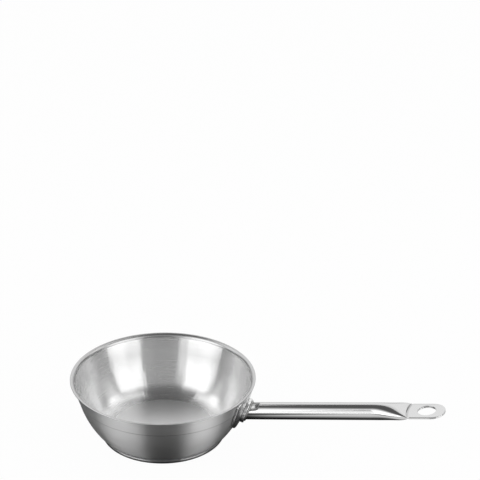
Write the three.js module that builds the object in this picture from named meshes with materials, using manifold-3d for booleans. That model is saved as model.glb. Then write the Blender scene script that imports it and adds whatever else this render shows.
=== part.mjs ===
// Stainless steel saute pan: curved flared wall, pouring lip, sandwich base and a welded tube handle.
// Millimetres, +Z up. The origin is the centre of the base's underside, and the handle points along +X.
import * as THREE from 'three';
import { mergeVertices } from 'three/addons/utils/BufferGeometryUtils.js';
import Module from 'manifold-3d';

const wasm = await Module();
wasm.setup();

// Pan body, pressed from one sheet; flares and turns are measured in degrees from upright
const RIM_DIAMETER = 208;
const PAN_HEIGHT = 71.5;
const BODY_SHEET = 1.2;
const WALL_ARC_RADIUS = 110;
const WALL_FLARE_LOW = 40;
const WALL_FLARE_TOP = 15.3;
const FLOOR_CORNER_RADIUS = 8;
const LIP_RADIUS = 4.4;
const LIP_TURN = 100;

// Sandwich base: an aluminium disc under the floor, closed in by a thin steel cap
const SPREADER_THICKNESS = 4.2;
const CAP_SHEET = 0.6;
const CAP_CORNER_RADIUS = 2.4;
const CAP_OVERHANG = 2.7;
const CAP_EDGE_CHAMFER = 0.3;

// Saddle plate, which hugs the wall under the lip
const PLATE_SHEET = 2.3;
const PLATE_WIDTH = 62;
const PLATE_BELOW_HANDLE = 21;
const PLATE_LIP_GAP = 0.8;
const PLATE_TOP_CORNER = 6;
const PLATE_LOW_CORNER = 27;

// Collar, the oval boss between the plate and the tube
const COLLAR_THICKNESS = 2.8;
const COLLAR_SIDE_LAND = 4.6;
const COLLAR_END_LAND = 3.4;
const COLLAR_DROP = 0.6;
const COLLAR_BEVEL = 0.8;

// Handle: a round tube whose end is pressed flat into a tab with a hole to hang it by
const HANDLE_DROP = 25.9;
const HANDLE_RISE = 9.5;
const HANDLE_REACH = 318;
const TUBE_DIAMETER = 19.4;
const TUBE_WALL = 1.25;
const PRESS_LENGTH = 40;
const TAB_LENGTH = 41;
const TAB_WIDTH = 30.8;
const CREASE_BOW = 2.5;
const HANG_HOLE_DIAMETER = 20;
const HANG_HOLE_SETBACK = 20.2;
const BEAD_LEG = 1.6;
const BEAD_CROWN = 1;

// Clearance between neighbouring pieces, and how far a cutter runs past what it cuts
const SEAM = 0.3;
const PAST = 5;

// Facets
const TURN_STEPS = 72;
const CORNER_STEPS = 4;
const WALL_STEPS = 8;
const LIP_STEPS = 6;
const SMALL_CORNER_STEPS = 3;
const PLATE_CORNER_STEPS = 6;
const BEVEL_STEPS = 2;
const TIP_STEPS = 16;
const OVAL_STEPS = 36;
const TUBE_SIDES = 28;
const PRESS_STEPS = 9;
const BORE_PRESS_STEPS = 8;
const PRESS_EASE = 2.3;
const PRESS_SQUARING = 5;

const radians = THREE.MathUtils.degToRad;
const point = (r, z) => new THREE.Vector2(r, z);

const steel = (color, roughness) => new THREE.MeshStandardMaterial({ color, roughness, metalness: 1 });
const satinSteel = steel(0xb9babb, 0.32);
const baseSteel = steel(0xa9aaab, 0.38);
const plateSteel = steel(0xb4b5b6, 0.3);
const collarSteel = steel(0xbcbdbe, 0.24);
const polishedSteel = steel(0xc6c7c8, 0.12);
const weldSteel = steel(0x9d9c9a, 0.45);
const rolledAluminium = steel(0xc9cbcd, 0.5);

// Solids

// A closed solid from a geometry, with its shared corners merged and empty triangles left out.
function toSolid(geometry) {
  const bare = geometry.clone();
  bare.deleteAttribute('normal');
  bare.deleteAttribute('uv');
  const merged = mergeVertices(bare);
  const corners = merged.index.array;
  const triangles = [];
  for (let i = 0; i < corners.length; i += 3) {
    const [a, b, c] = corners.slice(i, i + 3);
    if (a !== b && b !== c && c !== a) triangles.push(a, b, c);
  }
  const vertProperties = Float32Array.from(merged.attributes.position.array);
  const triVerts = Uint32Array.from(triangles);
  return new wasm.Manifold(new wasm.Mesh({ numProp: 3, vertProperties, triVerts }));
}

function toGeometry(solid) {
  const { vertProperties, triVerts } = solid.getMesh();
  const geometry = new THREE.BufferGeometry();
  geometry.setAttribute('position', new THREE.BufferAttribute(Float32Array.from(vertProperties), 3));
  geometry.setIndex(Array.from(triVerts));
  geometry.computeVertexNormals();
  return geometry;
}

function piece(name, solid, material) {
  const mesh = new THREE.Mesh(toGeometry(solid), material);
  mesh.name = name;
  return mesh;
}

// A profile of (radius, height) points turned about +Z; it starts and ends on the axis.
function turned(profile) {
  return toSolid(new THREE.LatheGeometry(profile, TURN_STEPS).rotateX(Math.PI / 2));
}

// A meridian arc from one flare to another. A negative radius has its centre outside the wall.
function flareArc(centre, radius, from, to, steps) {
  return Array.from({ length: steps + 1 }, (_, i) => {
    const flare = THREE.MathUtils.lerp(from, to, i / steps);
    return point(centre.x + radius * Math.cos(flare), centre.y - radius * Math.sin(flare));
  });
}

// Triangles between rows of points that close round on themselves.
function stitchRows(rows, joinEnds) {
  const count = rows[0].length;
  const triangles = [];
  const rowPairs = joinEnds ? rows.length : rows.length - 1;
  for (let i = 0; i < rowPairs; i += 1) {
    const here = i * count;
    const next = ((i + 1) % rows.length) * count;
    for (let j = 0; j < count; j += 1) {
      const k = (j + 1) % count;
      triangles.push(here + j, next + j, next + k, here + j, next + k, here + k);
    }
  }
  return triangles;
}

function bufferSolid(points, triangles) {
  const geometry = new THREE.BufferGeometry().setFromPoints(points);
  geometry.setIndex(triangles);
  return toSolid(geometry);
}

const middle = (row) => row.reduce((sum, p) => sum.add(p), new THREE.Vector3()).divideScalar(row.length);

// A skin over rows of points, closed by a fan at each end.
function loft(rows) {
  const points = rows.flat();
  const count = rows[0].length;
  const triangles = stitchRows(rows, false);
  const first = points.push(middle(rows[0])) - 1;
  const last = points.push(middle(rows.at(-1))) - 1;
  const lastRow = (rows.length - 1) * count;
  for (let j = 0; j < count; j += 1) {
    const k = (j + 1) % count;
    triangles.push(first, j, k, last, lastRow + k, lastRow + j);
  }
  return bufferSolid(points, triangles);
}

// A skin over rows of points that run round in a hoop.
const hoop = (rows) => bufferSolid(rows.flat(), stitchRows(rows, true));

// The body's outer face, worked out from the lip down to the floor

const flareLow = radians(WALL_FLARE_LOW);
const flareTop = radians(WALL_FLARE_TOP);
const lipTurn = radians(LIP_TURN);
const upright = 0;
const level = Math.PI / 2;
const fullTurn = 2 * Math.PI;

const floorUnderside = CAP_SHEET + SEAM + SPREADER_THICKNESS + SEAM;
const lipUnderRadius = LIP_RADIUS - BODY_SHEET;
const lipCentre = point(RIM_DIAMETER / 2 + LIP_RADIUS * Math.cos(lipTurn), PAN_HEIGHT - LIP_RADIUS);
const coneTop = flareArc(lipCentre, -lipUnderRadius, flareTop, flareTop, 1)[0];
const cornerTopHeight = floorUnderside + FLOOR_CORNER_RADIUS * (1 - Math.sin(flareLow));
const wallCentreHeight = cornerTopHeight + WALL_ARC_RADIUS * Math.sin(flareLow);
const coneFootHeight = wallCentreHeight - WALL_ARC_RADIUS * Math.sin(flareTop);
const coneFootRadius = coneTop.x - (coneTop.y - coneFootHeight) * Math.tan(flareTop);
const wallCentre = point(coneFootRadius - WALL_ARC_RADIUS * Math.cos(flareTop), wallCentreHeight);
const cornerTopRadius = wallCentre.x + WALL_ARC_RADIUS * Math.cos(flareLow);
const floorRadius = cornerTopRadius - FLOOR_CORNER_RADIUS * Math.cos(flareLow);
const cornerCentre = point(floorRadius, floorUnderside + FLOOR_CORNER_RADIUS);

// The floor and wall up to the foot of the cone, moved outwards by an offset.
function lowerFace(offset) {
  return [
    point(0, floorUnderside - offset),
    ...flareArc(cornerCentre, FLOOR_CORNER_RADIUS + offset, level, flareLow, CORNER_STEPS),
    ...flareArc(wallCentre, WALL_ARC_RADIUS + offset, flareLow, flareTop, WALL_STEPS).slice(1),
  ];
}

const lipFace = (offset) => flareArc(lipCentre, offset - lipUnderRadius, flareTop, lipTurn, LIP_STEPS);

// Everything inside the wall moved outwards by an offset, with the cone run on past the lip.
function wallEnvelope(offset) {
  const coneEnd = lipFace(offset)[0];
  const top = point(coneEnd.x + PAST * Math.tan(flareTop), coneEnd.y + PAST);
  return turned([...lowerFace(offset), top, point(0, top.y)]);
}

// The wall's radius and flare at a height between the corner and the lip.
function wallAt(height) {
  if (height > coneFootHeight) {
    return { radius: coneTop.x - (coneTop.y - height) * Math.tan(flareTop), flare: flareTop };
  }
  const flare = Math.asin((wallCentre.y - height) / WALL_ARC_RADIUS);
  return { radius: wallCentre.x + WALL_ARC_RADIUS * Math.cos(flare), flare };
}

// Pan body

function panBody() {
  const outside = [...lowerFace(0), ...lipFace(0)];
  const inside = [...lowerFace(-BODY_SHEET), ...lipFace(-BODY_SHEET)];
  return piece('pan_body', turned([...outside, ...inside.reverse()]), satinSteel);
}

// Sandwich base

const capRadius = floorRadius + CAP_OVERHANG;
const capCornerCentre = point(capRadius - CAP_CORNER_RADIUS, CAP_CORNER_RADIUS);
const capInside = CAP_OVERHANG - CAP_SHEET;
const capTop = cornerCentre.y - Math.sqrt((FLOOR_CORNER_RADIUS + SEAM) ** 2 - capInside ** 2);

// One quarter turn of the base's outer edge, moved inwards by an offset.
function baseCorner(inset) {
  return flareArc(capCornerCentre, CAP_CORNER_RADIUS - inset, level, upright, SMALL_CORNER_STEPS);
}

function baseCap() {
  return piece('base_cap', turned([
    point(0, 0),
    ...baseCorner(0),
    point(capRadius, capTop - CAP_EDGE_CHAMFER),
    point(capRadius - CAP_EDGE_CHAMFER, capTop),
    point(capRadius - CAP_SHEET, capTop),
    ...baseCorner(CAP_SHEET).reverse(),
    point(0, CAP_SHEET),
  ]), baseSteel);
}

function heatSpreader() {
  const top = floorUnderside - SEAM;
  const edge = capRadius - CAP_SHEET - SEAM;
  return piece('heat_spreader_disc', turned([
    point(0, CAP_SHEET + SEAM),
    ...baseCorner(CAP_SHEET + SEAM),
    point(edge, top),
    point(0, top),
  ]), rolledAluminium);
}

// Where the handle meets the wall: lateral +Y, up the wall's slope, and straight out of the wall

const seatHeight = PAN_HEIGHT - HANDLE_DROP;
const seat = wallAt(seatHeight);
const outOfWall = new THREE.Vector3(Math.cos(seat.flare), 0, -Math.sin(seat.flare));
const upTheWall = new THREE.Vector3(Math.sin(seat.flare), 0, Math.cos(seat.flare));
const seatFrame = new THREE.Matrix4()
  .makeBasis(new THREE.Vector3(0, 1, 0), upTheWall, outOfWall)
  .setPosition(seat.radius, 0, seatHeight);

const plateBack = SEAM;
const collarBack = plateBack + PLATE_SHEET + SEAM;
const collarFront = collarBack + COLLAR_THICKNESS;
const rootFace = collarFront + SEAM;
const mitre = radians(HANDLE_RISE) + seat.flare;
const tubeRadius = TUBE_DIAMETER / 2;

// Saddle plate

function plateOutline() {
  const half = PLATE_WIDTH / 2;
  const lipAlongWall = (coneTop.x - seat.radius) * upTheWall.x + (coneTop.y - seatHeight) * upTheWall.z;
  const top = lipAlongWall - PLATE_LIP_GAP;
  const shape = new THREE.Shape();
  shape.moveTo(half, top - PLATE_TOP_CORNER);
  shape.absarc(half - PLATE_TOP_CORNER, top - PLATE_TOP_CORNER, PLATE_TOP_CORNER, 0, level);
  shape.absarc(PLATE_TOP_CORNER - half, top - PLATE_TOP_CORNER, PLATE_TOP_CORNER, level, Math.PI);
  const lowCorner = Math.min(PLATE_LOW_CORNER, half);
  const low = lowCorner - PLATE_BELOW_HANDLE;
  shape.absarc(lowCorner - half, low, lowCorner, Math.PI, 3 * level);
  shape.absarc(half - lowCorner, low, lowCorner, 3 * level, fullTurn);
  return shape;
}

function saddlePlate() {
  const depth = PLATE_WIDTH;
  const plain = { depth, bevelEnabled: false, curveSegments: PLATE_CORNER_STEPS };
  const punch = new THREE.ExtrudeGeometry(plateOutline(), plain);
  punch.translate(0, 0, -depth / 2).applyMatrix4(seatFrame);
  const sheet = wallEnvelope(plateBack + PLATE_SHEET).intersect(toSolid(punch));
  return piece('saddle_plate', sheet.subtract(wallEnvelope(plateBack)), plateSteel);
}

// Collar

function handleCollar() {
  const bevel = { bevelSize: COLLAR_BEVEL, bevelThickness: COLLAR_BEVEL, bevelSegments: BEVEL_STEPS };
  const halfWidth = tubeRadius + COLLAR_SIDE_LAND - COLLAR_BEVEL;
  const halfHeight = tubeRadius / Math.cos(mitre) + COLLAR_END_LAND - COLLAR_BEVEL;
  const oval = new THREE.Shape().absellipse(0, -COLLAR_DROP, halfWidth, halfHeight, 0, fullTurn);
  const depth = halfHeight + collarFront;
  const boss = new THREE.ExtrudeGeometry(oval, { depth, curveSegments: OVAL_STEPS / 2, ...bevel });
  boss.translate(0, 0, collarFront - depth - COLLAR_BEVEL).applyMatrix4(seatFrame);
  return piece('handle_collar', toSolid(boss).subtract(wallEnvelope(collarBack)), collarSteel);
}

// Handle, in its own frame: +X along the tube from its mitred root, +Y across, +Z up

const root = new THREE.Vector3(0, 0, rootFace).applyMatrix4(seatFrame);
const handleLength = (HANDLE_REACH - root.x) / Math.cos(radians(HANDLE_RISE));
const creaseAt = handleLength - TAB_LENGTH;
const pressAt = creaseAt - PRESS_LENGTH;

// Points round the tube's section as it is pressed from a circle (0) into a flat strip (1): a superellipse
// whose power grows with the press, so the top goes flat while the sides stay round.
function tubeRow(along, pressed, radius, halfWidth, halfThickness) {
  const wide = THREE.MathUtils.lerp(radius, halfWidth, pressed);
  const high = THREE.MathUtils.lerp(radius, halfThickness, pressed);
  const power = 2 / (2 + PRESS_SQUARING * pressed);
  const squared = (share) => Math.sign(share) * Math.abs(share) ** power;
  return Array.from({ length: TUBE_SIDES }, (_, j) => {
    const around = (j / TUBE_SIDES) * fullTurn;
    const across = squared(Math.cos(around));
    const bow = CREASE_BOW * pressed * across ** 2;
    return new THREE.Vector3(along + bow, wide * across, high * squared(Math.sin(around)));
  });
}

// The tube's skin at a depth under its outer face: the mitred root, then the press over some of its steps.
function tubeRows(under, slit, steps) {
  const radius = tubeRadius - under;
  const size = [radius, TAB_WIDTH / 2 - under, slit];
  const mitred = tubeRow(0, 0, ...size).map((p) => p.setX(p.z * Math.tan(mitre)));
  const pressing = Array.from({ length: steps + 1 }, (_, i) => {
    const share = i / PRESS_STEPS;
    return tubeRow(pressAt + share * PRESS_LENGTH, share ** PRESS_EASE, ...size);
  });
  return [mitred, ...pressing];
}

function handleTube() {
  const boreSlit = SEAM / 2;
  const outside = tubeRows(0, TUBE_WALL, PRESS_STEPS);
  const inside = tubeRows(TUBE_WALL, boreSlit, BORE_PRESS_STEPS);
  const blankEnd = handleLength + CREASE_BOW + PAST;
  const blank = tubeRow(blankEnd, 1, tubeRadius, TAB_WIDTH / 2, TUBE_WALL);
  const pressedTube = loft([blank, ...outside.reverse(), ...inside]);

  const tipRadius = TAB_WIDTH / 2;
  const tipCentre = handleLength - tipRadius;
  const trim = new THREE.Shape();
  trim.moveTo(tipCentre, TAB_WIDTH);
  trim.lineTo(tipCentre, tipRadius);
  trim.absarc(tipCentre, 0, tipRadius, level, -level, true);
  trim.lineTo(tipCentre, -TAB_WIDTH);
  trim.lineTo(blankEnd + PAST, -TAB_WIDTH);
  trim.lineTo(blankEnd + PAST, TAB_WIDTH);
  const depth = TUBE_DIAMETER;
  const plain = { depth, bevelEnabled: false, curveSegments: TIP_STEPS };
  const trimmer = new THREE.ExtrudeGeometry(trim, plain);
  trimmer.translate(0, 0, -depth / 2);

  const holeRadius = HANG_HOLE_DIAMETER / 2;
  const drill = new THREE.CylinderGeometry(holeRadius, holeRadius, TUBE_DIAMETER, OVAL_STEPS);
  drill.rotateX(level).translate(handleLength - HANG_HOLE_SETBACK, 0, 0);

  const solid = pressedTube.subtract(toSolid(trimmer)).subtract(toSolid(drill));
  return piece('handle_tube', solid, polishedSteel);
}

// Fillet of weld metal in the corner between the tube's root and the collar's face.
function rootWeldBead() {
  const tall = tubeRadius / Math.cos(mitre);
  const onFace = (u, v, lift) => new THREE.Vector3(v * Math.sin(mitre) + lift, u, v * Math.cos(mitre));
  const rows = Array.from({ length: OVAL_STEPS }, (_, i) => {
    const around = (i / OVAL_STEPS) * fullTurn;
    const away = new THREE.Vector2(Math.cos(around) / tubeRadius, Math.sin(around) / tall).normalize();
    const at = (out, lift) => onFace(
      tubeRadius * Math.cos(around) + away.x * out,
      tall * Math.sin(around) + away.y * out,
      lift,
    );
    const crown = at(SEAM + BEAD_CROWN, BEAD_CROWN);
    return [at(SEAM, 0), at(SEAM + BEAD_LEG, 0), crown, at(SEAM, BEAD_LEG)];
  });
  return piece('root_weld_bead', hoop(rows), weldSteel);
}

function handle() {
  const group = new THREE.Group();
  group.add(handleTube(), rootWeldBead());
  group.position.copy(root);
  group.rotation.y = -radians(HANDLE_RISE);
  return group;
}

const sautePan = new THREE.Group();
sautePan.add(panBody(), baseCap(), heatSpreader(), saddlePlate(), handleCollar(), handle());

export default sautePan;
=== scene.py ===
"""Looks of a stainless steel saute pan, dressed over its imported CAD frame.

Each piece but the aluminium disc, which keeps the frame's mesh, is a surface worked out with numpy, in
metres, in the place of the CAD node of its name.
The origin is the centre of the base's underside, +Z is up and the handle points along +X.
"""

import bmesh
import bpy
import numpy as np
from bpy.props import FloatProperty, FloatVectorProperty, PointerProperty
from mathutils import Matrix, Vector


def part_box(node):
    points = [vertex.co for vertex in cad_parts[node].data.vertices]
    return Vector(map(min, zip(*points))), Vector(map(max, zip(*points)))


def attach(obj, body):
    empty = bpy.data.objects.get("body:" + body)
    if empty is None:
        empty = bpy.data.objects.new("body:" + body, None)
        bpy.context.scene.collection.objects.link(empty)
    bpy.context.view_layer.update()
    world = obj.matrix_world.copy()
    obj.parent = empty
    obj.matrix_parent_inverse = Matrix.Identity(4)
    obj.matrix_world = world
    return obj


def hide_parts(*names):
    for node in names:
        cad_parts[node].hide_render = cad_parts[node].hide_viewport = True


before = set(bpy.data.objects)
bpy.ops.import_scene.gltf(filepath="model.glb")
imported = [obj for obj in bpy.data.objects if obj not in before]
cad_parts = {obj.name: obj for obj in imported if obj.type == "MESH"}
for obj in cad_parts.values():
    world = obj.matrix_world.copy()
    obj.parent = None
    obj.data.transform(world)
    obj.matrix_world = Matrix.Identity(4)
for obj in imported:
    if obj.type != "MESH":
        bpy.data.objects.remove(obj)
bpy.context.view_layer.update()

bl_info = {
    "name": "Saute pan",
    "version": (1, 0, 0),
    "blender": (4, 5, 0),
    "location": "View3D > Sidebar > Saute pan",
    "description": "Builds a stainless steel saute pan over its CAD frame",
    "category": "Add Mesh",
}

MM = 0.001
BODY_LOW, BODY_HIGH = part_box("pan_body")
CAP_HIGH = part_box("base_cap")[1]
TUBE_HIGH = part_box("handle_tube")[1]

# Pattern coordinates ride on every mesh that lay_piece makes, under this name, in millimetres along and
# across the finish
FINISH = "finish"

# Shares of each direction in a pattern: its lines run long where the share is small
PLATE_GRAIN = (0.05, 0.05, 1)
COLLAR_GRAIN = (1, 0.05, 0.05)
TUBE_GRAIN = (0.02, 1, 1)


# Sizes and colours that a user would change


def srgb(code):
    """Linear RGB of an sRGB hex colour."""
    share = np.array([int(code[i:i + 2], 16) for i in (0, 2, 4)]) / 255
    linear = np.where(share <= 0.04045, share / 12.92, ((share + 0.055) / 1.055) ** 2.4)
    return tuple(float(v) for v in linear)


def length(name, description, millimetres):
    """A length property with its default in millimetres."""
    return FloatProperty(
        name=name, description=description, default=millimetres * MM, unit="LENGTH", precision=5)


def angle(name, description, degrees):
    """An angle property with its default in degrees."""
    return FloatProperty(
        name=name, description=description, default=np.radians(degrees), subtype="ANGLE")


def colour(name, description, code):
    """A colour property with its default as an sRGB hex value."""
    return FloatVectorProperty(
        name=name, description=description, default=srgb(code), subtype="COLOR", size=3)


def brightness(name, description, radiance):
    """A property for how bright a light is, where 1 shows as white."""
    return FloatProperty(name=name, description=description, default=radiance)


class SAUTE_PG_body(bpy.types.PropertyGroup):
    """Sizes of the pressed bowl; flares and turns are measured from upright"""

    rim_radius: length("Lip radius", "From the axis to the lip's edge", BODY_HIGH.x / MM)
    height: length("Height", "From the table to the top of the lip", 71.5)
    underside: length("Floor underside", "Height of the sheet's underside", BODY_LOW.z / MM)
    sheet: length("Sheet", "Thickness of the steel", 1.2)
    wall_arc: length("Wall arc", "Radius of the wall's curve", 110)
    flare_low: angle("Low flare", "Flare where the wall leaves the floor's corner", 40)
    flare_top: angle("Top flare", "Flare of the straight part under the lip", 15.3)
    corner: length("Floor corner", "Outer radius between floor and wall", 8)
    hollow: length("Inner corner", "Radius between floor and wall inside the bowl", 25)
    lip_radius: length("Lip roll", "Inner radius over which the lip turns out", 4.4)
    lip_turn: angle("Lip turn", "Flare at the lip's rounded edge", 92.5)
    joint_rise: length("Joint rise", "Height of the groove's middle above the sheet's underside", 2.2)
    joint_width: length("Joint width", "How far the groove reaches to each side of its middle", 1.3)
    joint_depth: length("Joint depth", "Depth of the groove pressed in above the cap's rim", 1.8)
    line_drop: length("Draw line drop", "How far the draw line lies below the lip", 18.5)
    # Painted shade: the band this wide below the draw line gets the darker line material
    line_width: length("Draw line width", "Width of the line that the press scores", 0.9)
    line_depth: length("Draw line depth", "Depth of the faint line left by the press", 0.4)
    line_edge: length("Draw line edge", "Height over which the line reaches its depth", 0.8)
    line_fade: length("Draw line fade", "Height over which the wall comes back out below the line", 14)


class SAUTE_PG_base(bpy.types.PropertyGroup):
    """Sizes of the cap that closes the sandwich base"""

    radius: length("Cap radius", "Outer radius of the cap", CAP_HIGH.x / MM)
    height: length("Cap height", "Top of the rim, with a dark joint left above it", CAP_HIGH.z / MM - 1)
    sheet: length("Cap sheet", "Thickness of the cap's steel", 0.6)
    corner: length("Cap corner", "Radius between underside and side", 2.4)
    rim: length("Cap rim", "Radius over which the rim is turned in against the bowl", 1.2)


class SAUTE_PG_bracket(bpy.types.PropertyGroup):
    """Sizes of the saddle plate and the collar on it"""

    handle_drop: length("Handle drop", "How far below the lip the tube's axis meets the wall", 25.9)
    seam: length("Seam", "Clearance between neighbouring pieces", 0.3)
    plate_sheet: length("Plate sheet", "Thickness of the saddle plate", 2.3)
    plate_width: length("Plate width", "Width of the saddle plate", 62)
    plate_below: length("Plate below", "How far the plate reaches below the tube's axis", 21)
    plate_gap: length("Lip gap", "Gap from the plate's top to the lip's roll", 0.8)
    plate_top_corner: length("Top corner", "Radius of the plate's upper corners", 6)
    plate_low_corner: length("Low corner", "Radius of the plate's lower corners", 27)
    plate_edge: length("Plate edge", "Rounding of the plate's edge", 0.7)
    spot_across: length("Spot weld spread", "From the middle of the plate to its spot welds", 21)
    spot_below: length("Low spot welds", "How far the lower spot welds lie below the tube's axis", 6)
    spot_above: length("High spot welds", "How far the upper spot welds lie above the tube's axis", 10)
    spot_radius: length("Spot weld radius", "Radius of the mark that a spot weld leaves", 2.4)
    spot_depth: length("Spot weld depth", "Depth of the mark that a spot weld leaves", 0.25)
    collar_thickness: length("Collar thickness", "Thickness of the oval boss", 2.8)
    collar_side: length("Collar side land", "How far the boss stands out beside the tube", 4.6)
    collar_end: length("Collar end land", "How far the boss stands out above and below the tube", 3.4)
    collar_drop: length("Collar drop", "How far the boss sits below the tube's axis", 0.6)
    collar_edge: length("Collar edge", "Rounding of the boss's edge", 0.8)


class SAUTE_PG_handle(bpy.types.PropertyGroup):
    """Sizes of the tube, its pressed tab and the weld at its root"""

    rise: angle("Rise", "Slope of the tube", 9.5)
    reach: length("Reach", "From the pan's axis to the tab's tip", 318)
    diameter: length("Tube diameter", "Outer diameter of the tube", 19.4)
    wall: length("Tube wall", "Thickness of the tube's wall", 1.25)
    press: length("Press length", "Length over which the tube is pressed flat", 40)
    tab: length("Tab length", "From the crease to the tip", 41)
    tab_width: length("Tab width", "Width of the flat tab", 30.8)
    crease_bow: length("Crease bow", "How far the crease bows along the tube", 2.5)
    crease_width: length("Crease width", "How far the crease reaches to each side of its line", 0.8)
    crease_depth: length("Crease depth", "How far the crease sinks into the tab", 0.52)
    hole: length("Hole diameter", "Hole that the pan hangs by", 20)
    hole_setback: length("Hole setback", "From the tip to the hole's centre", 20.2)
    hole_edge: length("Hole edge", "Rounding of the hole's rim", 0.4)
    slit: length("Slit", "Half the height of the bore where the press has closed it", 0.15)
    bead_leg: length("Bead leg", "Width of the weld on tube and collar", 1.6)


class SAUTE_PG_finish(bpy.types.PropertyGroup):
    """Colours of the metals"""

    outside: colour("Outside steel", "Brushed stainless steel of the bowl's outside", "d2d2d2")
    inside: colour("Inside steel", "Finely brushed stainless steel of the bowl's inside", "e2e2e2")
    lip: colour("Lip steel", "Polished stainless steel of the rolled lip", "b8b8b8")
    # Painted shade: this darker colour along the draw line stands in for the shade in its groove
    scored: colour("Scored steel", "Stainless steel of the draw line", "949494")
    ground: colour("Floor steel", "Ground stainless steel of the bowl's floor", "eeeeee")
    turned: colour("Turned steel", "Turned stainless steel of the base", "acacac")
    sheet: colour("Sheet steel", "Polished stainless sheet of the bracket", "e0e0e0")
    tube: colour("Tube steel", "Mirror-polished stainless tube", "c4c4c4")
    weld: colour("Weld steel", "Brushed weld metal", "b4b4b3")
    aluminium: colour("Aluminium", "Rolled aluminium inside the base", "d2d3d5")


class SAUTE_PG_stage(bpy.types.PropertyGroup):
    """Camera and studio"""

    heading: angle("Heading", "How far the handle is turned towards the camera", 15.3)
    pitch: angle("Pitch", "How far the camera looks down", 24.9)
    roll: angle("Roll", "Tilt of the camera about its own axis", 0.7)
    camera_place: FloatVectorProperty(
        name="Camera place", description="Camera, before the heading is applied",
        default=(0.0844, -1.5624, 0.9662), subtype="TRANSLATION", size=3)
    lens: FloatProperty(name="Lens", description="Focal length in mm on a 36 mm sensor", default=120)
    softbox_left: brightness("Left softbox", "Brightness of the left softbox", 2.9)
    softbox_right: brightness("Right softbox", "Brightness of the right softbox", 2.5)
    fill: brightness("Fill", "Brightness of the low panel left of the camera", 1.9)
    side: brightness("Side", "Brightness of the two raised panels at the sides", 0.75)
    top: brightness("Top", "Brightness of the two panels overhead", 1.15)
    sweep: brightness("Sweep", "Brightness of the panel behind the pan", 0.76)
    skirting: brightness("Skirting", "Brightness of the room at floor level", 0.08)
    walls: brightness("Walls", "Brightness of the room half-way up its walls", 0.55)
    zenith: brightness("Zenith", "Brightness of the room overhead", 0.14)
    floor: colour("Floor", "Pale floor", "f0f0f0")
    # Painted shade: the dark floor colour that mirror rays see near the pan
    floor_painted_shade: colour("Floor in metal", "The floor close to the pan as the metal shows it", "282828")


class SAUTE_PG_pan(bpy.types.PropertyGroup):
    """Everything that can be changed on the pan"""

    body: PointerProperty(type=SAUTE_PG_body)
    base: PointerProperty(type=SAUTE_PG_base)
    bracket: PointerProperty(type=SAUTE_PG_bracket)
    handle: PointerProperty(type=SAUTE_PG_handle)
    finish: PointerProperty(type=SAUTE_PG_finish)
    stage: PointerProperty(type=SAUTE_PG_stage)


# Meshes


def lattice(count, around, hoop=False, strip=False):
    """Quads over rows of points; a row closes round unless a strip, and a hoop joins last row to first."""
    corner = np.arange(count * around).reshape(count, around)
    here = corner if hoop else corner[:-1]
    there = np.roll(corner, -1, 0) if hoop else corner[1:]
    quads = np.stack([here, np.roll(here, -1, 1), np.roll(there, -1, 1), there], -1)
    return (quads[:, :-1] if strip else quads).reshape(-1, 4).tolist()


def skin(rows, first_pole=None, last_pole=None, hoop=False, strip=False):
    """Points and faces over a grid of rows; a pole closes the first or the last row with a fan."""
    count, around = rows.shape[:2]
    points = rows.reshape(-1, 3)
    faces = lattice(count, around, hoop, strip)
    for pole, start in ((first_pole, 0), (last_pole, (count - 1) * around)):
        if pole is not None:
            ring = np.arange(start, start + around)
            tip = np.full(around, len(points))
            points = np.vstack([points, pole])
            faces += np.stack([tip, ring, np.roll(ring, -1)], -1).tolist()
    return points, faces


def joined(*patches):
    """Several patches of points and faces as one."""
    starts = np.cumsum([0] + [len(points) for points, _ in patches])
    faces = []
    for (_, patch), start in zip(patches, starts):
        faces += [[corner + start for corner in face] for face in patch]
    return np.vstack([points for points, _ in patches]), faces


# Points nearer than this are one, and faces that meet at more than this angle keep a sharp edge
MERGE = 0.002 * MM
SHARP = np.radians(40)


def lay_piece(name, points, faces, finish, materials, slot, zones=None):
    """Makes a mesh of points in metres, closes its seams, turns it outwards and puts it in its node's place.

    zones holds the number of the material for each face, where there is more than one."""
    mesh = bpy.data.meshes.new(name)
    mesh.from_pydata(points.tolist(), [], faces)
    for material in materials:
        mesh.materials.append(material)
    if zones is not None:
        mesh.polygons.foreach_set("material_index", zones.astype(np.int32))
    pattern = mesh.attributes.new(FINISH, "FLOAT_VECTOR", "POINT")
    pattern.data.foreach_set("vector", np.ascontiguousarray(finish / MM, np.float32).ravel())
    shell = bmesh.new()
    shell.from_mesh(mesh)
    bmesh.ops.remove_doubles(shell, verts=shell.verts, dist=MERGE)
    bmesh.ops.recalc_face_normals(shell, faces=shell.faces)
    shell.to_mesh(mesh)
    shell.free()
    mesh.shade_smooth()
    mesh.set_sharp_from_angle(angle=SHARP)
    piece = bpy.data.objects.new(name, mesh)
    bpy.context.scene.collection.objects.link(piece)
    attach(piece, "root")
    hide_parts(name.removesuffix("_look"))


def run_length(points):
    """Distance along a row of points from its start."""
    steps = np.linalg.norm(np.diff(points, axis=0), axis=1)
    return np.concatenate([[0], np.cumsum(steps)])


# Radius of the circle that the pattern goes round in one turn of its piece, which sets how long streaks are
STREAK = 1.5 * MM


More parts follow.
